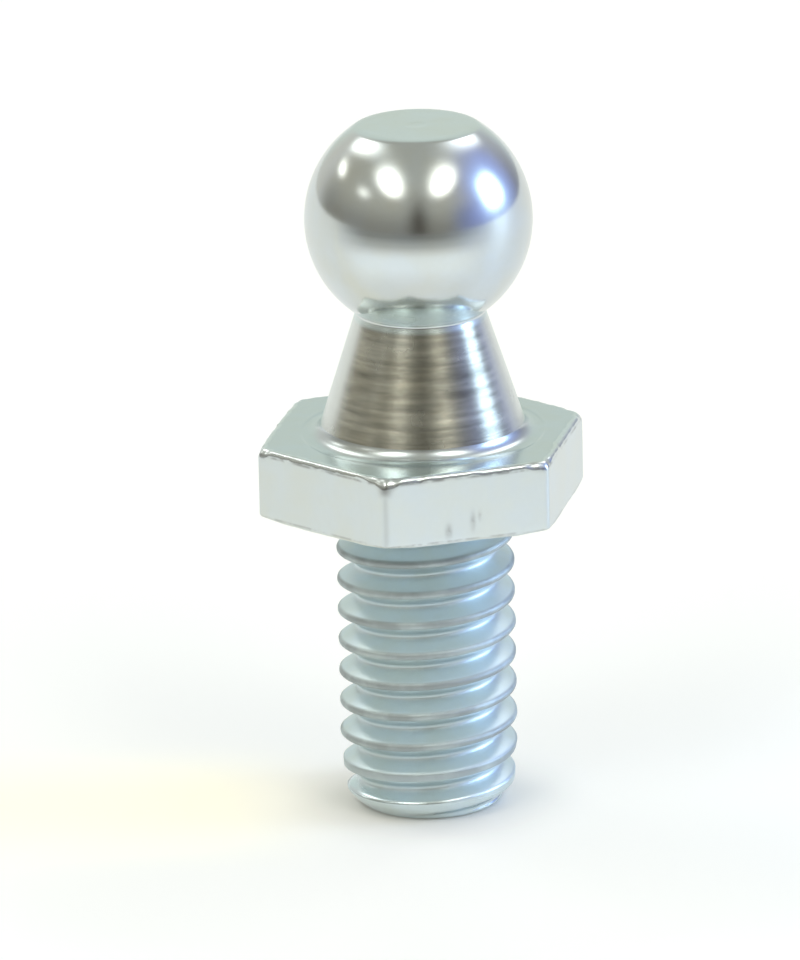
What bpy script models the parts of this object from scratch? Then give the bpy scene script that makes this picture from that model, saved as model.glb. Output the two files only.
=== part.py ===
"""Ball stud: a 10 mm ball on a cone, over a 13 mm hexagon, with a 5/16-18 thread below.

A turned blank is cut out of hexagon bar and joined to a stem with a rolled thread. Named sizes are
in millimetres, the meshes in metres. +Z runs along the stud's axis towards the ball. The origin is
the centre of the thread's end face. The hexagon has corners on +X and -X, and flats facing +Y and -Y.
"""

import math

import bmesh
import bpy
from mathutils import Matrix, Vector

MM = 0.001

# ---------------------------------------------------------------- sizes, millimetres and degrees
BALL_DIA = 10.0
BALL_CENTRE_Z = 26.75
BALL_FLAT_Z = 31.0  # the faced flat on top of the ball

CONE_BASE_DIA = 9.26  # where the cone's side would meet the hexagon's top
CONE_HALF_ANGLE = 17.87
NECK_BLEND = 0.14  # concave radius where the cone runs into the ball's underside

FOOT_FILLET = 0.75  # concave radius between cone and hexagon
FOOT_RING_DIA = 10.7  # turned ring round the cone's foot
FOOT_RING_DEPTH = 0.05

HEX_ACROSS_FLATS = 13.0
HEX_THICKNESS = 3.23
HEX_CORNER_RADIUS = 0.22  # along the bar's long edges
HEX_TOP_BREAK_RADIAL = 0.22  # steep break on the six top corners
HEX_TOP_BREAK_AXIAL = 0.65
SEAT_DIA = 13.8  # flat underside
SEAT_INNER_DIA = 8.6  # the open part of the underside starts outside the thread
SEAT_CHAMFER_ANGLE = 12.0  # from the seat's plane

THREAD_LENGTH = 13.82  # end face to the hexagon's underside
THREAD_MAJOR_DIA = 7.85
THREAD_MINOR_DIA = 6.20
THREAD_PITCH = 25.4 / 18.0
THREAD_CREST_Z_AT_X = 1.196  # height of a crest where it crosses the +X side
CREST_HALF_WIDTH = 0.115  # share of a pitch
ROOT_HALF_WIDTH = 0.105  # share of a pitch
CREST_ROUNDING = 0.07
ROOT_ROUNDING = 0.07
END_FACE_DIA = 6.08
END_CHAMFER_ANGLE = 49.0  # from the end face's plane
LEAD_DIA = 7.52  # the first turns of the rolled thread are not quite full
LEAD_LENGTH = 2.6

# How far the parts run past the surfaces that cut them or take them in
SIDE_CLEARANCE = 0.4  # blank outside the bar's corners, envelope outside the crests
BAR_OVERRUN = 2.0  # beyond both ends of the stud
THREAD_OVERRUN = 0.9  # up inside the hexagon
ENVELOPE_OVERRUN = 0.4  # below the end face
ENVELOPE_TOP_Z = 20.0
ENVELOPE_FLARE_LENGTH = 1.0  # above the lead, out to the envelope's side
CREST_CLEARANCE = 0.03  # envelope outside the crests where the lead ends

# ---------------------------------------------------------------- mesh density
TURN_STEPS = 48  # facets round every turned surface
THREAD_STEPS = 40
BALL_ROWS = 16
FILLET_ROWS = 5
BLEND_ROWS = 3
WELD_MM = 0.002  # slivers left along the cuts are closed up to this length
SHARP_ANGLE = 28.0

# ---------------------------------------------------------------- derived sizes
SEAT_Z = THREAD_LENGTH
HEX_TOP_Z = SEAT_Z + HEX_THICKNESS
HEX_CORNER_R = HEX_ACROSS_FLATS / math.sqrt(3.0)
BALL_R = 0.5 * BALL_DIA
THREAD_MAJOR_R = 0.5 * THREAD_MAJOR_DIA
THREAD_MINOR_R = 0.5 * THREAD_MINOR_DIA


def clear_scene():
    for ob in list(bpy.data.objects):
        bpy.data.objects.remove(ob, do_unlink=True)


def zinc_steel():
    """Bright zinc plate on steel, faintly blue."""
    colour = (0.70, 0.74, 0.76, 1.0)
    mat = bpy.data.materials.new("zinc_plated_steel")
    mat.use_nodes = True
    inputs = mat.node_tree.nodes["Principled BSDF"].inputs
    inputs["Base Color"].default_value = colour
    inputs["Metallic"].default_value = 1.0
    inputs["Roughness"].default_value = 0.24
    mat.diffuse_color = colour
    return mat


# ---------------------------------------------------------------- mesh helpers
def object_from(bm, name):
    """An object made of the closed mesh, its faces turned outward."""
    bmesh.ops.recalc_face_normals(bm, faces=bm.faces)
    if bm.calc_volume(signed=True) < 0.0:
        bmesh.ops.reverse_faces(bm, faces=bm.faces)
    mesh = bpy.data.meshes.new(name)
    bm.to_mesh(mesh)
    bm.free()
    ob = bpy.data.objects.new(name, mesh)
    bpy.context.collection.objects.link(ob)
    return ob


def tidy(bm, merge, collapse):
    """Merge points and collapse edges and faces smaller than the given lengths in metres."""
    bmesh.ops.remove_doubles(bm, verts=bm.verts, dist=merge)
    bmesh.ops.dissolve_degenerate(bm, edges=bm.edges, dist=collapse)


def rotate_about_z(bm, angle):
    turn = Matrix.Rotation(angle, 3, "Z")
    bmesh.ops.rotate(bm, cent=(0, 0, 0), matrix=turn, verts=bm.verts)


def turned(profile, name):
    """A solid of revolution about Z, from (radius, height) pairs that run from axis to axis."""
    bm = bmesh.new()
    verts = [bm.verts.new((radius * MM, 0.0, z * MM)) for radius, z in profile]
    edges = [bm.edges.new(pair) for pair in zip(verts, verts[1:])]
    bmesh.ops.spin(
        bm,
        geom=verts + edges,
        cent=(0.0, 0.0, 0.0),
        axis=(0.0, 0.0, 1.0),
        angle=2.0 * math.pi,
        steps=TURN_STEPS,
        use_merge=True,
    )
    tidy(bm, merge=1e-7, collapse=1e-7)
    # half a facet round, so that the bar's corners fall in the middle of a facet
    rotate_about_z(bm, math.pi / TURN_STEPS)
    return object_from(bm, name)


# ---------------------------------------------------------------- turned blank
def arc(centre, start, end, rows):
    """Points round the centre, from the arm `start` to the direction `end`."""
    sweep = start.angle_signed(end)
    return [
        tuple(centre + Matrix.Rotation(-sweep * i / rows, 2) @ start) for i in range(rows + 1)
    ]


def fillet(before, corner, after, radius, rows):
    """Points that round off the corner between two straight lines, in order."""
    corner = Vector(corner)
    to_before = (Vector(before) - corner).normalized()
    to_after = (Vector(after) - corner).normalized()
    half = 0.5 * to_before.angle(to_after)
    reach = radius / math.tan(half)
    centre = corner + (to_before + to_after).normalized() * (radius / math.sin(half))
    start = corner + to_before * reach - centre
    end = corner + to_after * reach - centre
    return arc(centre, start, end, rows)


def flange_profile():
    """Underside, rim and top of the flange, in to the floor of the ring round the cone."""
    seat_r = 0.5 * SEAT_DIA
    rim_r = HEX_CORNER_R + SIDE_CLEARANCE
    break_r = HEX_CORNER_R - HEX_TOP_BREAK_RADIAL
    break_slope = HEX_TOP_BREAK_AXIAL / HEX_TOP_BREAK_RADIAL
    seat_slope = math.tan(math.radians(SEAT_CHAMFER_ANGLE))
    ring_r = 0.5 * FOOT_RING_DIA
    return [
        (0.0, SEAT_Z),
        (0.5 * SEAT_INNER_DIA, SEAT_Z),
        (seat_r, SEAT_Z),
        (rim_r, SEAT_Z + (rim_r - seat_r) * seat_slope),
        (rim_r, HEX_TOP_Z - (rim_r - break_r) * break_slope),
        (break_r, HEX_TOP_Z),
        (ring_r, HEX_TOP_Z),
        (ring_r - FOOT_RING_DEPTH, HEX_TOP_Z - FOOT_RING_DEPTH),
    ]


def cone_profile():
    """Foot fillet, cone side and the blend that ends on the ball."""
    base_r = 0.5 * CONE_BASE_DIA
    half = math.radians(CONE_HALF_ANGLE)
    along = Vector((-math.sin(half), math.cos(half)))
    outward = Vector((math.cos(half), math.sin(half)))

    # the blend's centre stands NECK_BLEND off the cone's side and off the ball
    ball = Vector((0.0, BALL_CENTRE_Z))
    start = Vector((base_r, HEX_TOP_Z)) + outward * NECK_BLEND - ball
    reach = start.dot(along)
    climb = -reach - math.sqrt(reach**2 - start.length_squared + (BALL_R + NECK_BLEND) ** 2)
    blend = ball + start + along * climb
    to_cone = -outward * NECK_BLEND

    # the cone's side is carried down to the ring's floor, where the fillet rounds the corner
    floor_z = HEX_TOP_Z - FOOT_RING_DEPTH
    ring_edge = (0.5 * FOOT_RING_DIA, floor_z)
    foot = (base_r + FOOT_RING_DEPTH * math.tan(half), floor_z)
    points = fillet(ring_edge, foot, blend + to_cone, FOOT_FILLET, FILLET_ROWS)
    return points + arc(blend, to_cone, ball - blend, BLEND_ROWS)


def ball_profile(neck_r):
    """The ball above its neck, and the flat in to the axis."""
    # angles at the ball's centre, from straight down
    low = math.asin(neck_r / BALL_R)
    high = math.pi - math.acos((BALL_FLAT_Z - BALL_CENTRE_Z) / BALL_R)
    points = []
    for i in range(1, BALL_ROWS + 1):
        angle = low + (high - low) * i / BALL_ROWS
        points.append((BALL_R * math.sin(angle), BALL_CENTRE_Z - BALL_R * math.cos(angle)))
    return points + [(0.0, BALL_FLAT_Z)]


def turned_blank():
    """Flange, cone and ball in one, with a round flange wider than the bar."""
    cone = cone_profile()
    neck_r = cone[-1][0]
    return turned(flange_profile() + cone + ball_profile(neck_r), "ball_stud")


# ---------------------------------------------------------------- hexagon
def hexagon_bar():
    """Hexagon bar, longer than the stud, with its six long edges slightly rounded."""
    low, high = -BAR_OVERRUN, BALL_FLAT_Z + BAR_OVERRUN
    bm = bmesh.new()
    bmesh.ops.create_cone(
        bm,
        cap_ends=True,
        segments=6,
        radius1=HEX_CORNER_R * MM,
        radius2=HEX_CORNER_R * MM,
        depth=(high - low) * MM,
    )
    # the corner nearest +X is turned onto it
    corner = max((v.co for v in bm.verts), key=lambda co: co.x)
    rotate_about_z(bm, -math.atan2(corner.y, corner.x))
    bmesh.ops.translate(bm, vec=(0, 0, 0.5 * (low + high) * MM), verts=bm.verts)
    long_edges = [e for e in bm.edges if abs(e.verts[0].co.z - e.verts[1].co.z) > 1.0 * MM]
    bmesh.ops.bevel(
        bm,
        geom=long_edges,
        offset=HEX_CORNER_RADIUS * math.tan(math.radians(30.0)) * MM,
        offset_type="OFFSET",
        segments=2,
        profile=0.5,
        affect="EDGES",
    )
    return object_from(bm, "hexagon_bar")


# ---------------------------------------------------------------- thread
def thread_outline():
    """One pitch of the thread: (share of a pitch above the crest, radius)."""
    crest_edge_r = THREAD_MAJOR_R - CREST_ROUNDING
    root_edge_r = THREAD_MINOR_R + ROOT_ROUNDING
    return [
        (0.0, THREAD_MAJOR_R),
        (CREST_HALF_WIDTH, crest_edge_r),
        (0.5 - ROOT_HALF_WIDTH, root_edge_r),
        (0.5, THREAD_MINOR_R),
        (0.5 + ROOT_HALF_WIDTH, root_edge_r),
        (1.0 - CREST_HALF_WIDTH, crest_edge_r),
    ]


def add_helix(bm, first_turn, last_turn):
    """The thread's open surface: rows of points that climb one pitch for each turn."""
    outline = thread_outline()
    rows_per_turn = len(outline)
    rows = (last_turn - first_turn) * rows_per_turn
    grid = []
    for i in range(rows + rows_per_turn):
        turn, station = divmod(i, rows_per_turn)
        share, radius = outline[station]
        row = []
        for j in range(THREAD_STEPS):
            angle = 2.0 * math.pi * j / THREAD_STEPS
            pitches = first_turn + turn + share + j / THREAD_STEPS
            x = radius * math.cos(angle)
            y = radius * math.sin(angle)
            z = THREAD_CREST_Z_AT_X + pitches * THREAD_PITCH
            row.append(bm.verts.new((x * MM, y * MM, z * MM)))
        grid.append(row)
    # one full turn on, a row meets the start of the same row one pitch higher
    joined = [grid[i] + [grid[i + rows_per_turn][0]] for i in range(rows)]
    for lower, upper in zip(joined, joined[1:]):
        for j in range(THREAD_STEPS):
            bm.faces.new((lower[j], lower[j + 1], upper[j + 1], upper[j]))


def cut_flat(bm, z, normal):
    """Cut the mesh at height z, drop the side the normal points to, and close the cut."""
    cut = bmesh.ops.bisect_plane(
        bm,
        geom=bm.verts[:] + bm.edges[:] + bm.faces[:],
        dist=1e-8,
        plane_co=(0, 0, z * MM),
        plane_no=normal,
        clear_outer=True,
    )
    rim = [e for e in cut["geom_cut"] if isinstance(e, bmesh.types.BMEdge)]
    bmesh.ops.edgeloop_fill(bm, edges=rim)


def rolled_thread():
    """The stem with its right-handed thread, cut flat at both ends."""
    top = SEAT_Z + THREAD_OVERRUN
    # whole turns that reach past both cuts
    first_turn = math.floor(-THREAD_CREST_Z_AT_X / THREAD_PITCH) - 2
    last_turn = math.ceil((top - THREAD_CREST_Z_AT_X) / THREAD_PITCH) + 1
    bm = bmesh.new()
    add_helix(bm, first_turn, last_turn)
    cut_flat(bm, 0.0, (0, 0, -1))
    cut_flat(bm, top, (0, 0, 1))
    loose = [v for v in bm.verts if not v.link_faces]
    bmesh.ops.delete(bm, geom=loose, context="VERTS")
    tidy(bm, merge=2e-6, collapse=1e-6)
    return object_from(bm, "rolled_thread")


def thread_envelope():
    """The chamfered rod that the thread's end is trimmed to."""
    end_r = 0.5 * END_FACE_DIA
    lead_r = 0.5 * LEAD_DIA
    side_r = THREAD_MAJOR_R + SIDE_CLEARANCE
    slope = math.tan(math.radians(END_CHAMFER_ANGLE))
    # the chamfer is carried below the end face, so that no envelope face lies in it
    profile = [
        (0.0, -ENVELOPE_OVERRUN),
        (end_r - ENVELOPE_OVERRUN / slope, -ENVELOPE_OVERRUN),
        (lead_r, (lead_r - end_r) * slope),
        (THREAD_MAJOR_R + CREST_CLEARANCE, LEAD_LENGTH),
        (side_r, LEAD_LENGTH + ENVELOPE_FLARE_LENGTH),
        (side_r, ENVELOPE_TOP_Z),
        (0.0, ENVELOPE_TOP_Z),
    ]
    return turned(profile, "thread_envelope")


# ---------------------------------------------------------------- assembly
def boolean(ob, helper, operation):
    """Combine the object with a helper, which is then hidden from renders."""
    mod = ob.modifiers.new(helper.name, "BOOLEAN")
    mod.operation = operation
    mod.solver = "EXACT"
    mod.object = helper
    helper.hide_render = True
    helper.display_type = "WIRE"


def finish(ob, material):
    ob.data.materials.append(material)
    ob.data.shade_smooth()
    ob.data.set_sharp_from_angle(angle=math.radians(SHARP_ANGLE))


def main():
    clear_scene()
    stud = turned_blank()
    bar = hexagon_bar()
    thread = rolled_thread()
    envelope = thread_envelope()
    boolean(thread, envelope, "INTERSECT")
    boolean(stud, bar, "INTERSECT")
    boolean(stud, thread, "UNION")
    weld = stud.modifiers.new("close_slivers", "WELD")
    weld.merge_threshold = WELD_MM * MM
    steel = zinc_steel()
    for ob in (stud, bar, thread, envelope):
        finish(ob, steel)


main()
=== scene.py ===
"""Looks of the ball stud: one finely modelled piece of bright zinc-plated steel, standing on a pale floor."""

import math

import bpy
import numpy as np
from mathutils import Matrix, Vector


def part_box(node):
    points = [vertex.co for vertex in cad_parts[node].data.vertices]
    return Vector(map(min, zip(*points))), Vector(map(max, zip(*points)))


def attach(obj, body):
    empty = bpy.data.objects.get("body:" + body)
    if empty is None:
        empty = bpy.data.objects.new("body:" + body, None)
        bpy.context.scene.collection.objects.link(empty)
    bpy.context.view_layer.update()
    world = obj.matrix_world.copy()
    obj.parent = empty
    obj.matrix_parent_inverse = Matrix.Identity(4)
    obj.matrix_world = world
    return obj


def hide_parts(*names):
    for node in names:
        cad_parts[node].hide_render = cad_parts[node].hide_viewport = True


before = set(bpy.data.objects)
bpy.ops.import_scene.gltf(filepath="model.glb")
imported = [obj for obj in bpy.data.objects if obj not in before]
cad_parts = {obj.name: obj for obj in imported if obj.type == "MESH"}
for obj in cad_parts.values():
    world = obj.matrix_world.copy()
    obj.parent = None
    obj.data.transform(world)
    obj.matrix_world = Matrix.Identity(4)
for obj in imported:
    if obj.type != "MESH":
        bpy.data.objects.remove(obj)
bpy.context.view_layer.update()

MM = 0.001
low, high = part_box("ball_stud")
SEAT = 13.82  # underside of the hexagon, above the end face
TOP = 17.05  # upper face of the hexagon
FLAT = (high.z - low.z) / MM  # the flat on the ball
APOTHEM = (high.y - low.y) / MM / 2.0

BALL_R, BALL_Z = 5.0, 26.75
CONE_R0, CONE_HALF = 4.63, math.radians(17.87)  # radius where the cone's side meets the hexagon's top
NECK_BLEND = 0.14  # the cone runs into the ball's underside through this small radius
RUNOUT = (-0.095, 0.030)  # the drawn bar sits a little out of true against the turned axis

PITCH = 25.4 / 18.0
MAJOR, MINOR = 3.93, 3.13
CREST_AT = 1.196  # height of a crest over +X
END_R, END_SLOPE = 3.04, math.tan(math.radians(49.0))
LEAD_R, LEAD_Z = 3.76, 2.6  # the first turns of a rolled thread are not quite full

COLS = 240
ROWS = 20  # thread rows in one pitch


# ------------------------------------------------------------------------------------------------ smooth seeded noise
def waves(seed, lengths, heights):
    """A smooth wandering function of one variable, made of sine waves with seeded phases."""
    rng = np.random.default_rng(seed)
    parts = []
    for length, height in zip(lengths, heights):
        for _ in range(3):
            parts.append((length * rng.uniform(0.75, 1.3), height * rng.uniform(0.3, 0.75), rng.uniform(0, 2 * math.pi)))

    def f(x):
        x = np.asarray(x, float)
        out = np.zeros_like(x)
        for length, height, phase in parts:
            out += height * np.sin(2 * math.pi * x / length + phase)
        return out

    return f


def round_waves(seed, orders, height):
    """The same round a circle, so that it closes on itself."""
    rng = np.random.default_rng(seed)
    parts = [(k, rng.uniform(0.4, 1.0) * height, rng.uniform(0, 2 * math.pi)) for k in orders]

    def f(a):
        a = np.asarray(a, float)
        return sum(h * np.sin(k * a + p) for k, h, p in parts) / math.sqrt(len(parts))

    return f


# ------------------------------------------------------------------------------------------------ columns round the axis
def column_angles():
    """Angles of the columns from -30 degrees on, closer together at the hexagon's corners, which lie at 0, 60, 120..."""
    per = COLS // 6
    out = []
    for side in range(6):
        for k in range(per):
            t = -1.0 + 2.0 * k / per
            phi = 30.0 * (t - 0.5 * math.sin(math.pi * t) / math.pi)
            out.append(math.radians(60.0 * side + phi))
    return np.array(out)


ANG = column_angles()
COS, SIN = np.cos(ANG), np.sin(ANG)
PHI = (ANG + math.radians(30.0)) % math.radians(60.0) - math.radians(30.0)  # from the nearest corner


def hexagon(corner_radius=0.26, grow=0.0):
    """Radius of the bar's outline at each column, its corners rounded."""
    a = APOTHEM + grow
    c = (a - corner_radius) / math.cos(math.radians(30.0))
    tangent = math.atan2(corner_radius * 0.5, c + corner_radius * math.cos(math.radians(30.0)))
    flat = a / np.cos(math.radians(30.0) - np.abs(PHI))
    inside = np.maximum(corner_radius**2 - (c * np.sin(PHI)) ** 2, 0.0)
    arc = c * np.cos(PHI) + np.sqrt(inside)
    return np.where(np.abs(PHI) < tangent, arc, flat)


class Skin:
    """Rings of COLS points, joined into one closed skin. Every ring is an array of radii and one of heights."""

    def __init__(self):
        self.points = []
        self.faces = []
        self.kinds = []
        self.last = None

    def add(self, r, z, out=0.0):
        r = np.broadcast_to(np.asarray(r, float), (COLS,))
        z = np.broadcast_to(np.asarray(z, float), (COLS,))
        start = len(self.points)
        self.points.extend(zip(r * COS + out * RUNOUT[0], r * SIN + out * RUNOUT[1], z))
        return np.arange(start, start + COLS)

    def join(self, below, above, kind):
        nb, na = np.roll(below, -1), np.roll(above, -1)
        for a, b, c, d in zip(below, nb, na, above):
            self.faces.append((a, b, c, d))
            self.kinds.append(kind)

    def ring(self, r, z, kind, out=0.0):
        new = self.add(r, z, out)
        if self.last is not None:
            self.join(self.last, new, kind)
        self.last = new
        return new

    def cap(self, ring, z, kind, upward):
        centre = len(self.points)
        self.points.append((0.0, 0.0, z))
        nxt = np.roll(ring, -1)
        for a, b in zip(ring, nxt):
            self.faces.append((a, b, centre) if upward else (b, a, centre))
            self.kinds.append(kind)


def fillet(a, b, c, radius, n):
    """Points of a rounded corner b between the lines from a and to c. Each is an (r, z) pair of arrays."""
    a, b, c = (np.stack([np.broadcast_to(v, (COLS,)) for v in p]) for p in (a, b, c))
    radius = np.broadcast_to(radius, (COLS,))
    u, v = a - b, c - b
    u = u / np.linalg.norm(u, axis=0)
    v = v / np.linalg.norm(v, axis=0)
    cosine = np.clip((u * v).sum(0), -0.9999, 0.9999)
    half = 0.5 * np.arccos(cosine)
    reach = radius / np.tan(half)
    mid = u + v
    mid = mid / np.linalg.norm(mid, axis=0)
    centre = b + mid * (radius / np.sin(half))
    s = b + u * reach - centre
    e = b + v * reach - centre
    sweep = np.arctan2(s[0] * e[1] - s[1] * e[0], (s * e).sum(0))
    out = []
    for i in range(n + 1):
        t = sweep * i / n
        out.append((centre[0] + s[0] * np.cos(t) - s[1] * np.sin(t), centre[1] + s[0] * np.sin(t) + s[1] * np.cos(t)))
    return out


BALL, TURNED, DRAWN, ROLLED, FACED = 0, 1, 2, 3, 4

# small knocks low on the sides: angle and its spread in degrees, height and its spread, depth
NICKS = (
    (-98.3, 1.5, 14.42, 0.26, 0.020),
    (-88.0, 1.6, 14.80, 0.30, 0.016),
    (-118.0, 1.2, 15.9, 0.20, 0.012),
    (-33.0, 0.8, 15.1, 0.25, 0.020),
)


# ------------------------------------------------------------------------------------------------ thread
def thread_outline(s):
    """Radius at share s of a pitch from a crest: 60 degree flanks between a round crest and a round root."""
    d = np.abs((np.asarray(s) + 0.5) % 1.0 - 0.5) * PITCH  # distance from the nearest crest, along the axis
    rho = 0.198
    edge = rho * math.cos(math.radians(30.0))
    crest = MAJOR - rho + np.sqrt(np.maximum(rho**2 - d**2, 0.0))
    e = PITCH / 2 - d
    root = MINOR + rho - np.sqrt(np.maximum(rho**2 - e**2, 0.0))
    flank = MAJOR - rho * 0.5 - (d - edge) * math.tan(math.radians(60.0))
    r = np.where(d < edge, crest, np.where(e < edge, root, flank))
    return r


def thread_shares():
    """Shares of a pitch where the rows lie: close together on the crest and in the root."""
    edge = 0.198 * math.cos(math.radians(30.0)) / PITCH
    crest = np.linspace(-edge, edge, 7)
    root = np.linspace(0.5 - edge, 0.5 + edge, 7)
    up = np.linspace(edge, 0.5 - edge, 5)[1:-1]
    down = np.linspace(0.5 + edge, 1.0 - edge, 5)[1:-1]
    return np.concatenate([crest, up, root, down])


wander = waves(11, (9.0, 3.1, 1.3), (0.010, 0.007, 0.004))  # along the crest line, in turns
seam = waves(12, (2.3, 0.7), (0.5, 0.3))


def thread_radius(share, turn_pos, z):
    """The rolled thread with its small unevenness and the end chamfer."""
    r = thread_outline(share)
    d = np.abs((share + 0.5) % 1.0 - 0.5) * PITCH
    near_crest = np.exp(-((d / 0.16) ** 2))
    r = r + near_crest * wander(turn_pos)
    # where the metal met over the crest while rolling, a shallow seam stays
    offset = 0.03 * np.sin(turn_pos * 2.1)
    dd = (((share + 0.5) % 1.0 - 0.5) * PITCH - offset) / 0.035
    r = r - 0.018 * np.exp(-(dd**2)) * np.clip(0.55 + seam(turn_pos), 0.0, 1.0)
    # the chamfer bulges a little, having been rolled over with the first turn
    tall = (LEAD_R - END_R) * END_SLOPE
    share_up = np.clip(z / tall, 0.0, 1.0)
    bulged = END_R + (LEAD_R - END_R) * (0.25 * share_up + 0.75 * np.sin(share_up * math.pi / 2)) + np.maximum(z - tall, 0.0) * 0.3
    chamfer = np.minimum(bulged, LEAD_R + 0.06 * np.maximum(z - 0.8, 0.0) + 2.0 * np.maximum(z - LEAD_Z, 0.0))
    # rounded meeting of thread and chamfer
    k = 0.05
    h = np.clip(0.5 + 0.5 * (chamfer - r) / k, 0, 1)
    return chamfer * (1 - h) + r * h - k * h * (1 - h) * 0.5


def build_thread(skin):
    shares = thread_shares()
    rows_per_turn = len(shares)
    turns_low = math.floor((0.0 - CREST_AT) / PITCH) - 2
    turns_high = math.ceil((SEAT - CREST_AT) / PITCH) + 1
    theta = ANG - ANG[0]
    base = ANG[0] / (2 * math.pi)
    count = (turns_high - turns_low) * rows_per_turn
    rings = []
    for i in range(count + rows_per_turn):
        turn, k = divmod(i, rows_per_turn)
        phase = turns_low + turn + shares[k]
        lift = base + theta / (2 * math.pi)
        z = CREST_AT + (phase + lift) * PITCH
        inside = np.clip(z, 0.0, SEAT)
        share = (inside - CREST_AT) / PITCH - lift
        r = thread_radius(share, share + lift * 0 + (inside - CREST_AT) / PITCH, inside)
        rings.append(skin.add(r, inside))
    for i in range(count - 1):
        below, above = rings[i], rings[i + 1]
        for j in range(COLS):
            if j + 1 < COLS:
                quad = (below[j], below[j + 1], above[j + 1], above[j])
            else:
                quad = (below[j], rings[i + rows_per_turn][0], rings[i + 1 + rows_per_turn][0], above[j])
            heights = [skin.points[q][2] for q in quad]
            if min(heights) >= SEAT - 1e-9 or max(heights) <= 1e-9:
                continue
            skin.faces.append(quad)
            skin.kinds.append(ROLLED)
    # the loops in the end face and under the hexagon, column by column
    lift = base + theta / (2 * math.pi)
    loops = []
    for level in (0.0, SEAT):
        share = (level - CREST_AT) / PITCH - lift
        r = thread_radius(share, share + (level - CREST_AT) / PITCH, np.full(COLS, level))
        loops.append((r, skin.add(r, level)))
    return loops


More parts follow.
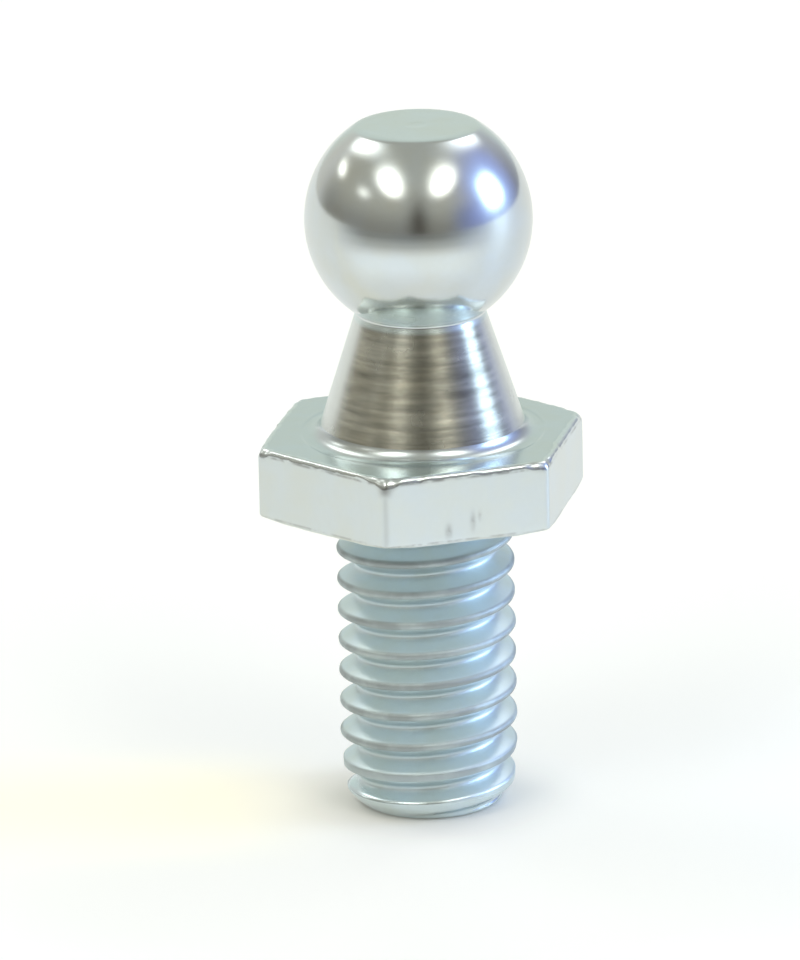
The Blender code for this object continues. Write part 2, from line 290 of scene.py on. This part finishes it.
# ------------------------------------------------------------------------------------------------ the whole skin
def build():
    skin = Skin()
    (end_r, end_ring), (root_r, root_ring) = build_thread(skin)

    # end face: flat, with the small dish a cut-off leaves
    skin.last = None
    rings = [end_ring]
    for s in (0.985, 0.95, 0.8, 0.55, 0.3, 0.1):
        r = end_r * s
        rings.append(skin.add(r, 0.004 * (s < 0.97)))
    for outer, inner in zip(rings, rings[1:]):
        skin.join(inner, outer, FACED)
    skin.cap(rings[-1], 0.004, FACED, upward=False)

    # underside of the hexagon, flat out to its edges, with only the corners just broken
    hexr = hexagon()
    seat_r = 6.9
    skin.last = root_ring
    for t in (0.06, 0.2, 0.45, 0.75, 1.0):
        skin.ring(root_r + (6.1 - root_r) * t, SEAT, FACED, t)
    wall_low = SEAT + np.maximum(hexr - seat_r, 0.0) * math.tan(math.radians(12.0))
    lower_wear = np.clip(0.13 + 0.035 * round_waves(5, (7, 13, 22, 37, 59), 1.0)(ANG), 0.07, 0.22)
    for r, z in fillet((6.1, SEAT), (hexr, wall_low), (hexr, wall_low + 1.0), lower_wear, 6):
        skin.ring(r, z, DRAWN, 1.0)

    # side walls, a light steep break on the six corners, and the turned edge worn round
    near = np.exp(-((PHI / math.radians(4.5)) ** 2))
    drop = 0.20 * near
    pull = 0.11 * near
    burr = round_waves(21, (5, 9, 17, 26, 41, 58, 83), 1.0)(ANG)
    edge = np.clip(0.24 + 0.06 * burr, 0.13, 0.34)
    wall_high = TOP - drop - edge
    for t in (0.04, 0.15, 0.3, 0.5, 0.7, 0.85, 0.94, 1.0):
        z = wall_low + 0.24 + (wall_high - wall_low - 0.24) * t
        dent = sum(
            depth * np.exp(-(((np.degrees(ANG) - where) / wide) ** 2)) * np.exp(-(((z - height) / tall) ** 2))
            for where, wide, height, tall, depth in NICKS
        )
        skin.ring(hexr - dent, z, DRAWN, 1.0)
    lip = 0.010 * round_waves(22, (11, 23, 47, 71), 1.0)(ANG)
    p0 = (hexr, wall_high)
    p1 = (hexr, TOP - drop * 0.75 - edge * 0.45)
    p2 = (hexr - pull - edge * 0.35, TOP)
    p3 = (hexr - pull - edge * 1.15, TOP + 0.0 * hexr)
    for i in range(1, 11):
        t = i / 10.0
        w = ((1 - t) ** 3, 3 * t * (1 - t) ** 2, 3 * t * t * (1 - t), t**3)
        r = sum(k * q[0] for k, q in zip(w, (p0, p1, p2, p3)))
        z = sum(k * q[1] for k, q in zip(w, (p0, p1, p2, p3)))
        bump = lip * math.sin(math.pi * t)
        skin.ring(r + bump, z + np.maximum(bump, 0.0) * 0.5, DRAWN, 1.0)

    # top face, in to the turned ring at the cone's foot
    ring_r = 5.40
    last_r = p3[0]
    for t in (0.06, 0.3, 0.6, 0.9):
        skin.ring(last_r + (ring_r + 0.05 - last_r) * t, TOP, FACED, 1.0 - t)
    depth = 0.035
    for r, z in fillet((7.0, TOP), (ring_r, TOP), (ring_r - 0.10, TOP - depth), 0.08, 3):
        skin.ring(r, z, FACED)
    for r, z in fillet((ring_r, TOP), (ring_r - 0.10, TOP - depth), (4.0, TOP - depth), 0.08, 3):
        skin.ring(r, z, FACED)

    # concave fillet into the cone, which runs up to a small blend under the ball
    lean = math.tan(CONE_HALF)
    along = np.array([-math.sin(CONE_HALF), math.cos(CONE_HALF)])
    outward = np.array([math.cos(CONE_HALF), math.sin(CONE_HALF)])
    ball = np.array([0.0, BALL_Z])
    start = np.array([CONE_R0, TOP]) + outward * NECK_BLEND - ball
    reach = float(start @ along)
    blend = ball + start + along * (-reach - math.sqrt(reach**2 - float(start @ start) + (BALL_R + NECK_BLEND) ** 2))
    cone_r1, cone_z1 = blend - outward * NECK_BLEND
    foot = (CONE_R0 + lean * depth, TOP - depth)
    arc = fillet((ring_r, TOP - depth), foot, (cone_r1, cone_z1), 0.74, 12)
    marks = waves(31, (0.62, 0.34, 0.21), (0.0006, 0.0005, 0.0004))
    for r, z in arc:
        skin.ring(r, z, FACED)
    z_from = arc[-1][1][0]
    cone_rows = 60
    for i in range(1, cone_rows + 1):
        t = i / cone_rows
        z = z_from + (cone_z1 - z_from) * t
        r = CONE_R0 - (z - TOP) * lean + float(marks(z)) * min(1.0, 12.0 * t, 12.0 * (1.0 - t))
        skin.ring(r, z, TURNED)
    first = math.atan2(-outward[1], -outward[0])
    last = math.atan2(ball[1] - blend[1], ball[0] - blend[0])
    last -= 2.0 * math.pi * round((last - first) / (2.0 * math.pi))
    for i in range(1, 8):
        a = first + (last - first) * i / 7
        skin.ring(blend[0] + NECK_BLEND * math.cos(a), blend[1] + NECK_BLEND * math.sin(a), BALL)
    low_a = math.asin((blend[0] + NECK_BLEND * math.cos(last)) / BALL_R)
    flat_a = math.pi - math.acos((FLAT - BALL_Z) / BALL_R)
    edge = math.radians(2.6)
    rows = 56
    for i in range(1, rows + 1):
        a = low_a + (flat_a - edge - low_a) * i / rows
        skin.ring(BALL_R * math.sin(a), BALL_Z - BALL_R * math.cos(a), BALL)
    # the ball's edge rolls over into the faced flat
    a0 = flat_a - edge
    p0 = (BALL_R * math.sin(a0), BALL_Z - BALL_R * math.cos(a0))
    flat_r = BALL_R * math.sin(flat_a)
    p2 = (flat_r - 0.30, FLAT)
    p1 = (p0[0] - (FLAT - p0[1]) / math.tan(math.pi - a0) , FLAT)
    for i in range(1, 9):
        t = i / 8
        skin.ring(
            (1 - t) ** 2 * p0[0] + 2 * t * (1 - t) * p1[0] + t * t * p2[0],
            (1 - t) ** 2 * p0[1] + 2 * t * (1 - t) * p1[1] + t * t * p2[1],
            BALL,
        )
    for r, z in ((2.3, 0.0), (1.9, 0.0), (1.5, 0.0), (1.0, 0.0), (0.6, 0.0), (0.42, 0.0), (0.34, -0.008), (0.26, -0.012), (0.1, -0.012)):
        skin.ring(r, FLAT + z, BALL)
    skin.cap(skin.last, FLAT - 0.012, BALL, upward=True)
    return skin


def to_object(skin, name):
    pts = np.array(skin.points, float) * MM
    # points that meet, such as rows cut off by the end face, become one
    keys = np.round(pts / 1e-7).astype(np.int64)
    _, first, inverse = np.unique(keys, axis=0, return_index=True, return_inverse=True)
    inverse = inverse.reshape(-1)
    faces, kinds = [], []
    for face, kind in zip(skin.faces, skin.kinds):
        ids = []
        for i in face:
            k = int(inverse[i])
            if not ids or ids[-1] != k:
                ids.append(k)
        if len(ids) > 1 and ids[0] == ids[-1]:
            ids.pop()
        if len(set(ids)) >= 3:
            faces.append(ids)
            kinds.append(kind)
    used = np.unique([i for f in faces for i in f])
    number = {int(u): n for n, u in enumerate(used)}
    mesh = bpy.data.meshes.new(name)
    mesh.from_pydata([tuple(pts[first[u]]) for u in used], [], [[number[i] for i in f] for f in faces])
    mesh.polygons.foreach_set("material_index", kinds)
    mesh.validate()
    mesh.update()
    mesh.shade_smooth()
    ob = bpy.data.objects.new(name, mesh)
    bpy.context.scene.collection.objects.link(ob)
    return ob


stud = to_object(build(), "ball_stud_fine")
weighted = stud.modifiers.new("weighted_normals", "WEIGHTED_NORMAL")
weighted.mode = "FACE_AREA"
weighted.weight = 50
weighted.keep_sharp = False


# ------------------------------------------------------------------------------------------------ node helpers
class Nodes:
    def __init__(self, tree):
        self.t = tree

    def new(self, kind, **props):
        n = self.t.nodes.new(kind)
        for k, v in props.items():
            setattr(n, k, v)
        return n

    def put(self, socket, value):
        if hasattr(value, "is_output") or isinstance(value, bpy.types.NodeSocket):
            self.t.links.new(value, socket)
        elif value is not None:
            socket.default_value = value

    def math(self, op, a, b=None, c=None, clamp=False):
        n = self.new("ShaderNodeMath", operation=op, use_clamp=clamp)
        for s, v in zip(n.inputs, (a, b, c)):
            self.put(s, v)
        return n.outputs[0]

    def ramp(self, x, lo, hi, out_lo=0.0, out_hi=1.0, smooth=True):
        n = self.new("ShaderNodeMapRange", interpolation_type="SMOOTHSTEP" if smooth else "LINEAR", clamp=True)
        for s, v in zip(n.inputs[:5], (x, lo, hi, out_lo, out_hi)):
            self.put(s, v)
        return n.outputs[0]

    def mix(self, fac, a, b):
        n = self.new("ShaderNodeMix", data_type="RGBA")
        self.put(n.inputs[0], fac)
        self.put(n.inputs[6], a if not isinstance(a, tuple) else (*a, 1.0)[:4])
        self.put(n.inputs[7], b if not isinstance(b, tuple) else (*b, 1.0)[:4])
        return n.outputs[2]

    def noise(self, vector, scale, detail=2.0, rough=0.5):
        n = self.new("ShaderNodeTexNoise")
        self.put(n.inputs["Vector"], vector)
        self.put(n.inputs["Scale"], scale)
        self.put(n.inputs["Detail"], detail)
        self.put(n.inputs["Roughness"], rough)
        return n.outputs[0]

    def xyz(self, x, y, z):
        n = self.new("ShaderNodeCombineXYZ")
        for s, v in zip(n.inputs, (x, y, z)):
            self.put(s, v)
        return n.outputs[0]

    def split(self, v):
        n = self.new("ShaderNodeSeparateXYZ")
        self.put(n.inputs[0], v)
        return n.outputs


# ------------------------------------------------------------------------------------------------ zinc plate
def zinc(name, base, rough, rough_var, ring_bump, ring_scale, aniso, kind, end_rough=None):
    mat = bpy.data.materials.new(name)
    mat.use_nodes = True
    t = mat.node_tree
    t.nodes.clear()
    g = Nodes(t)
    out = g.new("ShaderNodeOutputMaterial")
    p = g.new("ShaderNodeBsdfPrincipled")
    t.links.new(p.outputs[0], out.inputs[0])
    pos = g.new("ShaderNodeTexCoord").outputs["Object"]
    x, y, z = g.split(pos)
    radius = g.math("SQRT", g.math("ADD", g.math("MULTIPLY", x, x), g.math("MULTIPLY", y, y)))
    # soft mottling of the plate: patches a millimetre or two across, and finer grain
    patches = g.noise(pos, 620.0, 3.0, 0.55)
    grain = g.noise(pos, 5200.0, 2.0, 0.6)
    shade = g.math("ADD", g.math("MULTIPLY", g.math("SUBTRACT", patches, 0.5), 0.10), 1.0)
    shade = g.math("ADD", shade, g.math("MULTIPLY", g.math("SUBTRACT", grain, 0.5), 0.05))
    tint = g.mix(g.ramp(patches, 0.3, 0.7), tuple(base[i] * k for i, k in enumerate((1.0, 1.0, 0.985))), tuple(base[i] * k for i, k in enumerate((0.975, 0.995, 1.03))))
    scaled = g.new("ShaderNodeVectorMath", operation="SCALE")
    g.put(scaled.inputs[0], tint)
    g.put(scaled.inputs["Scale"], shade)
    g.put(p.inputs["Base Color"], scaled.outputs[0])
    p.inputs["Metallic"].default_value = 1.0
    if kind == "drawn":
        # a thin broken dark line under the worn upper edge, a darker patch high on one corner, and painted reflection
        # darkening that corner down its length
        def hump(value, middle, wide):
            q = g.math("DIVIDE", g.math("SUBTRACT", value, middle * MM), wide * MM)
            return g.math("EXPONENT", g.math("MULTIPLY", g.math("MULTIPLY", q, q), -1.0))

        broken = g.ramp(g.noise(pos, 1500.0, 3.0, 0.6), 0.36, 0.62)
        line = g.math("MULTIPLY", g.math("MULTIPLY", hump(z, 16.785, 0.055), broken), 0.62)
        side_x, side_y = g.math("SUBTRACT", x, -3.80 * MM), g.math("SUBTRACT", y, -6.42 * MM)
        away = g.math("SQRT", g.math("ADD", g.math("MULTIPLY", side_x, side_x), g.math("MULTIPLY", side_y, side_y)))
        # a darker patch high on the corner
        corner_dark_patch = g.math("MULTIPLY", g.math("MULTIPLY", hump(away, 0.0, 0.27), hump(z, 16.55, 0.26)), 0.66)
        # painted reflection: a narrow darkening down the corner, for the dim floor in front that it mirrors
        corner_painted_reflection = g.math("MULTIPLY", hump(away, 0.0, 0.14), 0.20)
        dark = g.math("MAXIMUM", g.math("MAXIMUM", line, corner_dark_patch), corner_painted_reflection)
        lower = g.math("MULTIPLY", g.math("MULTIPLY", hump(z, 13.97, 0.05), broken), 0.40)
        dark = g.math("MAXIMUM", dark, lower)
        # small dark knocks low on the front flat
        front_flat = g.ramp(y, -0.0060, -0.0062)
        for at_x, wide, at_z, high_z, depth in ((-0.95, 0.15, 14.42, 0.30, 0.50), (0.16, 0.12, 14.75, 0.40, 0.42), (0.48, 0.09, 14.98, 0.22, 0.30)):
            knock = g.math("MULTIPLY", g.math("MULTIPLY", hump(x, at_x, wide), hump(z, at_z, high_z)), front_flat)
            dark = g.math("MAXIMUM", dark, g.math("MULTIPLY", knock, g.math("MULTIPLY", g.ramp(grain, 0.30, 0.60, 0.5, 1.0), depth)))
        g.put(p.inputs["Base Color"], g.mix(dark, scaled.outputs[0], (0.20, 0.19, 0.175)))
    rv = g.math("ADD", rough, g.math("MULTIPLY", g.math("SUBTRACT", patches, 0.5), rough_var))
    if end_rough is not None:
        # the turned chamfer at the stud's end is smoother than the rolled thread
        rv = g.math("ADD", rv, g.ramp(z, 0.0007, 0.0013, end_rough - rough, 0.0))
        # and the crests are scuffed rougher, with painted shade darkening their colour
        rv = g.math("ADD", rv, g.ramp(radius, 0.00370, 0.00388, 0.0, 0.14))
        # painted shade: the crests' colour darkened in patches
        crest_painted_shade = g.math("MULTIPLY", g.ramp(radius, 0.00376, 0.00389), g.ramp(patches, 0.32, 0.62, 0.40, 0.85))
        g.put(p.inputs["Base Color"], g.mix(crest_painted_shade, scaled.outputs[0], (0.37, 0.40, 0.40)))
    g.put(p.inputs["Roughness"], g.math("MAXIMUM", rv, 0.03))
    # tool marks run round the axis
    along = g.xyz(g.math("MULTIPLY", radius, ring_scale), 0.0, g.math("MULTIPLY", z, ring_scale))
    lines = g.noise(along, 1.0, 4.0, 0.7)
    bump = g.new("ShaderNodeBump")
    bump.inputs["Strength"].default_value = 1.0
    bump.inputs["Distance"].default_value = ring_bump
    # broken marks, each a few tenths of a millimetre long
    dashes = g.noise(g.xyz(g.math("MULTIPLY", x, 1500.0), g.math("MULTIPLY", y, 1500.0), g.math("MULTIPLY", z, 11000.0)), 1.0, 3.0, 0.65)
    height = g.math("ADD", g.math("MULTIPLY", lines, 0.6), g.math("MULTIPLY", dashes, 0.8))
    if kind == "rolled":
        # uneven satin skin of a rolled surface
        height = g.math("ADD", g.noise(pos, 2300.0, 3.0, 0.6), g.math("MULTIPLY", dashes, 0.35))
    if kind == "drawn":
        # faint lines along the bar, and a satin grain
        around = g.xyz(g.math("MULTIPLY", x, 2600.0), g.math("MULTIPLY", y, 2600.0), g.math("MULTIPLY", z, 160.0))
        height = g.noise(around, 1.0, 3.0, 0.6)
    g.put(bump.inputs["Height"], g.math("ADD", height, g.math("MULTIPLY", grain, 0.25)))
    t.links.new(bump.outputs[0], p.inputs["Normal"])
    if aniso:
        # coarser broken rings left by the tool, lighter and darker
        rings = g.noise(g.xyz(0.3, 0.7, g.math("MULTIPLY", z, 3900.0)), 1.0, 3.0, 0.6)
        streaks = g.noise(g.xyz(g.math("MULTIPLY", x, 420.0), g.math("MULTIPLY", y, 420.0), g.math("MULTIPLY", z, 2600.0)), 1.0, 3.0, 0.6)
        tone = g.math("ADD", g.math("MULTIPLY", g.math("SUBTRACT", rings, 0.5), 0.9), g.math("MULTIPLY", g.math("SUBTRACT", streaks, 0.5), 1.3))
        streaked = g.new("ShaderNodeVectorMath", operation="SCALE")
        g.put(streaked.inputs[0], scaled.outputs[0])
        g.put(streaked.inputs["Scale"], g.math("ADD", tone, 1.02))
        # painted reflections: face on the cone keeps a brown base colour darkened as painted shade for the brown
        # walls it mirrors, at a glance it is lifted to a pale painted reflection of the wall behind, and in its
        # neighbours' reflections and in a band at its top it is painted pale green
        weight = g.new("ShaderNodeLayerWeight")
        weight.inputs["Blend"].default_value = 0.5
        # painted reflection: the colour is lifted to pale at grazing angles
        pale_painted_light = g.mix(g.ramp(weight.outputs["Facing"], 0.36, 0.58), streaked.outputs[0], (0.76, 0.79, 0.76))
        mirrored = g.new("ShaderNodeLightPath").outputs["Is Glossy Ray"]
        # painted reflection: a pale green band at the top of the cone
        painted_reflection_top_band = g.ramp(z, 0.02220, 0.02242)
        g.put(p.inputs["Base Color"], g.mix(g.math("MAXIMUM", mirrored, g.math("MULTIPLY", painted_reflection_top_band, 0.8)), pale_painted_light, (0.72, 0.81, 0.795)))
        p.inputs["Anisotropic"].default_value = aniso
        tangent = g.new("ShaderNodeTangent", direction_type="RADIAL", axis="Z")
        t.links.new(tangent.outputs[0], p.inputs["Tangent"])
        p.inputs["Anisotropic Rotation"].default_value = 0.25  # spread along the axis, across the turning marks
    return mat


BASE = (0.675, 0.705, 0.685)
stud.data.materials.append(zinc("zinc_ball", BASE, 0.150, 0.05, 0.0000008, 9000.0, 0.0, "turned"))
# the turned cone's base colour is darker and browner than the other zinc: painted shade for the dim brown walls it
# mirrors
stud.data.materials.append(zinc("zinc_turned", (0.425, 0.41, 0.34), 0.265, 0.07, 0.0000035, 9000.0, 1.0, "turned"))
stud.data.materials.append(zinc("zinc_drawn", (0.705, 0.745, 0.725), 0.24, 0.08, 0.0000030, 9000.0, 0.0, "drawn"))
stud.data.materials.append(zinc("zinc_rolled", (0.655, 0.745, 0.760), 0.43, 0.08, 0.0000080, 9000.0, 0.0, "rolled", 0.15))
stud.data.materials.append(zinc("zinc_faced", (0.62, 0.665, 0.66), 0.23, 0.06, 0.0000012, 7000.0, 0.0, "turned"))

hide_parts("ball_stud")
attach(stud, "root")

# ------------------------------------------------------------------------------------------------ camera
AZIMUTH, ELEVATION, ROLL = math.radians(-17.44), math.radians(17.48), math.radians(1.21)
DISTANCE, FOCAL_PX = 0.5, 11375.0
AIM_PX = (422.9, 429.7)  # where the centre of the hexagon's top face lies in the 800 x 960 frame

back = np.array([0.0, -math.cos(ELEVATION), math.sin(ELEVATION)])
forward = -back
right = np.array([1.0, 0.0, 0.0])
up = np.cross(right, forward)
rows = np.stack([right, up, forward])
cr, sr = math.cos(ROLL), math.sin(ROLL)
rows = np.array([[cr, -sr, 0], [sr, cr, 0], [0, 0, 1]]) @ rows
d = np.array([(AIM_PX[0] - 400.0) / FOCAL_PX, -(AIM_PX[1] - 480.0) / FOCAL_PX, 1.0])
turn = Vector((0, 0, 1)).rotation_difference(Vector(d))
rows = np.array(turn.to_matrix()) @ rows
spin = np.array(Matrix.Rotation(AZIMUTH, 3, "Z"))
rows = rows @ spin.T
place = spin @ (back * DISTANCE) + np.array([0, 0, TOP * MM])
basis = Matrix((rows[0], rows[1], -rows[2])).transposed()
cam_data = bpy.data.cameras.new("camera")
cam_data.lens = FOCAL_PX * 36.0 / 960.0
cam_data.sensor_width = 36.0
cam_data.clip_start, cam_data.clip_end = 0.01, 50.0
cam = bpy.data.objects.new("camera", cam_data)
cam.matrix_world = Matrix.Translation(place) @ basis.to_4x4()
bpy.context.scene.collection.objects.link(cam)
bpy.context.scene.camera = cam

# ------------------------------------------------------------------------------------------------ floor
FLOOR = (0.80, 0.785, 0.745)


def make_floor():
    me = bpy.data.meshes.new("floor")
    n, radius = 96, 6.0
    pts = [(radius * math.cos(2 * math.pi * i / n), radius * math.sin(2 * math.pi * i / n), 0.0) for i in range(n)]
    me.from_pydata(pts, [], [list(range(n))])
    ob = bpy.data.objects.new("floor", me)
    bpy.context.scene.collection.objects.link(ob)
    mat = bpy.data.materials.new("floor")
    mat.use_nodes = True
    t = mat.node_tree
    g = Nodes(t)
    p = t.nodes["Principled BSDF"]
    place = g.new("ShaderNodeTexCoord").outputs["Object"]
    spun = g.new("ShaderNodeVectorRotate", rotation_type="Z_AXIS")
    g.put(spun.inputs["Vector"], place)
    g.put(spun.inputs["Angle"], -AZIMUTH)
    x, y, _ = g.split(spun.outputs[0])
    x = g.math("MULTIPLY", x, 1000.0)
    y = g.math("MULTIPLY", y, -1000.0)  # towards the camera, millimetres
    far = g.math("SQRT", g.math("ADD", g.math("MULTIPLY", x, x), g.math("MULTIPLY", y, y)))
    az = g.math("MULTIPLY", g.math("ARCTAN2", x, y), 180.0 / math.pi)
    # the table is dimmer towards the camera, where somebody leans over it, well outside the picture
    dim = g.math("MULTIPLY", g.ramp(far, 66.0, 124.0), g.ramp(g.math("ABSOLUTE", g.math("ADD", az, 3.0)), 42.0, 100.0, 1.0, 0.0))
    dimmer = g.math("MULTIPLY", g.ramp(far, 110.0, 330.0), g.ramp(g.math("ABSOLUTE", g.math("ADD", az, 3.0)), 48.0, 96.0, 1.0, 0.0))
    colour = g.mix(g.math("MULTIPLY", dim, 0.64), FLOOR, (0.20, 0.20, 0.19))
    colour = g.mix(g.math("MULTIPLY", dimmer, 0.72), colour, (0.08, 0.08, 0.075))
    # window light falls on it from the right, lamp light from the left
    cool = g.math("MULTIPLY", g.ramp(x, 3.0, 42.0), g.ramp(g.math("ABSOLUTE", g.math("SUBTRACT", az, 88.0)), 18.0, 66.0, 1.0, 0.0))
    colour = g.mix(g.math("MULTIPLY", cool, 0.42), colour, (0.72, 0.79, 0.92))
    # painted light: a paler band of floor some 50 mm in front, brightening what the hexagon's front and the ball's
    # underside mirror
    pale_painted_light = g.math("MULTIPLY", g.ramp(g.math("ABSOLUTE", g.math("SUBTRACT", far, 50.0)), 8.0, 30.0, 1.0, 0.0), g.ramp(g.math("ABSOLUTE", g.math("ADD", az, 10.0)), 40.0, 92.0, 1.0, 0.0))
    colour = g.mix(g.math("MULTIPLY", pale_painted_light, 0.75), colour, (0.96, 0.975, 0.97))
    seen = g.new("ShaderNodeLightPath").outputs["Is Camera Ray"]
    warm = g.math("MULTIPLY", g.ramp(x, -3.5, -11.0), g.ramp(g.math("ABSOLUTE", g.math("SUBTRACT", y, 0.6)), 1.5, 9.0, 1.0, 0.0))
    warm = g.math("MULTIPLY", warm, g.math("ADD", 0.25, g.math("MULTIPLY", seen, 0.75)))
    colour = g.mix(g.math("MULTIPLY", warm, 0.55), colour, (0.92, 0.86, 0.62))
    g.put(p.inputs["Base Color"], colour)
    p.inputs["Roughness"].default_value = 0.5
    p.inputs["Specular IOR Level"].default_value = 0.25
    # a little light of its own keeps the shadow soft, except close in, and seen directly it is lifted to near white
    g.put(p.inputs["Emission Color"], colour)
    glow = g.math("ADD", g.math("ADD", 0.18, g.math("MULTIPLY", warm, 0.08)), g.math("MULTIPLY", seen, 0.13))
    close = g.math("MAXIMUM", g.ramp(far, 2.0, 7.5, 0.10, 1.0), g.math("SUBTRACT", 1.0, seen))
    g.put(p.inputs["Emission Strength"], g.math("MULTIPLY", glow, close))
    me.materials.append(mat)
    ob.location.z = -0.00002
    return ob


make_floor()


# ------------------------------------------------------------------------------------------------ studio
def make_world():
    world = bpy.data.worlds.new("studio")
    bpy.context.scene.world = world
    world.use_nodes = True
    t = world.node_tree
    t.nodes.clear()
    g = Nodes(t)
    out = g.new("ShaderNodeOutputWorld")
    direction = g.new("ShaderNodeTexCoord").outputs["Generated"]
    spun = g.new("ShaderNodeVectorRotate", rotation_type="Z_AXIS")
    g.put(spun.inputs["Vector"], direction)
    g.put(spun.inputs["Angle"], -AZIMUTH)
    x, y, z = g.split(spun.outputs[0])
    y = g.math("MULTIPLY", y, -1.0)  # towards the camera
    elevation = g.math("ARCSINE", z)
    azimuth = g.math("ARCTAN2", x, y)  # 0 towards the camera, positive to its right
    el = g.math("MULTIPLY", elevation, 180.0 / math.pi)
    az = g.math("MULTIPLY", azimuth, 180.0 / math.pi)
    sweep = g.math("ABSOLUTE", az)

    def scaled(c, k):
        return tuple(k * v for v in c)

    # walls: warm grey in front of the object, paler and cooler behind it, where the cut-over comes sooner on the left
    side = g.ramp(az, -25.0, 25.0)
    turned = g.math("SUBTRACT", sweep, g.math("MULTIPLY", side, 24.0))
    behind = g.ramp(turned, 104.0, 139.0)
    front = g.mix(g.ramp(el, 2.0, 29.0), (0.285, 0.280, 0.255), (0.475, 0.468, 0.412))
    corner = g.mix(side, (0.69, 0.685, 0.645), (0.62, 0.65, 0.71))
    rear = g.mix(g.ramp(sweep, 144.0, 168.0), corner, (0.72, 0.805, 0.75))
    colour = g.mix(behind, front, rear)
    # low on the right the wall is in violet shade
    shade = g.math("MULTIPLY", g.ramp(g.math("ABSOLUTE", g.math("SUBTRACT", az, 62.0)), 10.0, 34.0, 1.0, 0.0), g.ramp(el, 8.0, 30.0, 1.0, 0.0))
    colour = g.mix(shade, colour, (0.22, 0.24, 0.33))
    # ceiling
    colour = g.mix(g.ramp(el, 34.0, 62.0), colour, (0.465, 0.472, 0.430))
    # the dark figure of whoever stands behind the camera
    body = g.math("EXPONENT", g.math("MULTIPLY", g.math("POWER", g.math("DIVIDE", g.math("SUBTRACT", az, 0.0), 10.5), 2.0), -1.0))
    tall = g.ramp(el, 12.0, 50.0, 1.0, 0.0)
    colour = g.mix(g.math("MULTIPLY", g.math("MULTIPLY", body, tall), 0.92), colour, (0.085, 0.075, 0.062))

    # overhead lights, as rectangles in a ceiling at height 1 above the object
    inv = g.math("DIVIDE", 1.0, g.math("MAXIMUM", z, 0.02))
    cx, cy = g.math("MULTIPLY", x, inv), g.math("MULTIPLY", y, inv)
    above = g.ramp(z, 0.02, 0.08)

    def panel(x0, y0, half_x, half_y, power, tint, shear=0.0):
        """A lamp with a rounded outline and soft edges, centred on x0, y0."""
        nonlocal colour
        py = g.math("SUBTRACT", cy, y0)
        px = g.math("SUBTRACT", g.math("SUBTRACT", cx, x0), g.math("MULTIPLY", py, shear))
        qx = g.math("POWER", g.math("ABSOLUTE", g.math("DIVIDE", px, half_x)), 2.2)
        qy = g.math("POWER", g.math("ABSOLUTE", g.math("DIVIDE", py, half_y)), 2.2)
        m = g.math("EXPONENT", g.math("MULTIPLY", g.math("ADD", qx, qy), -1.0))
        colour = g.mix(g.math("MULTIPLY", m, above), colour, scaled(tint, power))

    warm = (1.0, 1.0, 0.94)
    panel(-0.61, 0.73, 0.215, 0.38, 6.0, warm)
    panel(0.55, 0.74, 0.215, 0.38, 6.0, warm)
    panel(-0.83, -0.72, 0.18, 0.45, 4.0, (1.0, 1.02, 0.98), 0.40)
    panel(0.72, -0.78, 0.20, 0.46, 3.8, (1.0, 1.03, 1.02), -0.36)
    panel(-1.78, -0.88, 0.26, 0.30, 3.2, warm)
    panel(-1.62, 0.64, 0.24, 0.26, 1.7, warm)

    # the window on the right: a bright core in a blue-violet glow
    def glow(az0, el0, waz, wel, lean, power, strength):
        nonlocal colour
        a = g.math("SUBTRACT", az, az0)
        b = g.math("SUBTRACT", el, el0)
        a = g.math("ADD", a, g.math("MULTIPLY", b, lean))
        a, b = g.math("DIVIDE", a, waz), g.math("DIVIDE", b, wel)
        q = g.math("ADD", g.math("POWER", g.math("ABSOLUTE", a), 2.6), g.math("POWER", g.math("ABSOLUTE", b), 2.6))
        m = g.math("EXPONENT", g.math("MULTIPLY", q, -1.0))
        colour = g.mix(g.math("MULTIPLY", m, strength), colour, power)

    glow(93.0, 22.0, 36.0, 30.0, -0.10, (0.44, 0.55, 1.22), 0.97)
    glow(90.5, 18.0, 19.0, 19.0, 0.10, (0.88, 1.16, 1.66), 0.92)
    glow(90.0, 20.5, 11.4, 10.2, 0.08, (6.5, 8.8, 11.8), 1.0)

    background = g.new("ShaderNodeBackground")
    g.put(background.inputs["Color"], colour)
    background.inputs["Strength"].default_value = 1.0
    # seen directly, the studio is a plain pale backdrop
    plain = g.new("ShaderNodeBackground")
    plain.inputs["Color"].default_value = (0.985, 0.985, 0.97, 1)
    path = g.new("ShaderNodeLightPath")
    both = g.new("ShaderNodeMixShader")
    g.put(both.inputs[0], path.outputs["Is Camera Ray"])
    t.links.new(background.outputs[0], both.inputs[1])
    t.links.new(plain.outputs[0], both.inputs[2])
    t.links.new(both.outputs[0], out.inputs[0])


make_world()
bpy.context.scene.view_settings.view_transform = "Standard"
bpy.context.scene.view_settings.look = "None"
bpy.context.scene.view_settings.exposure = 0.0
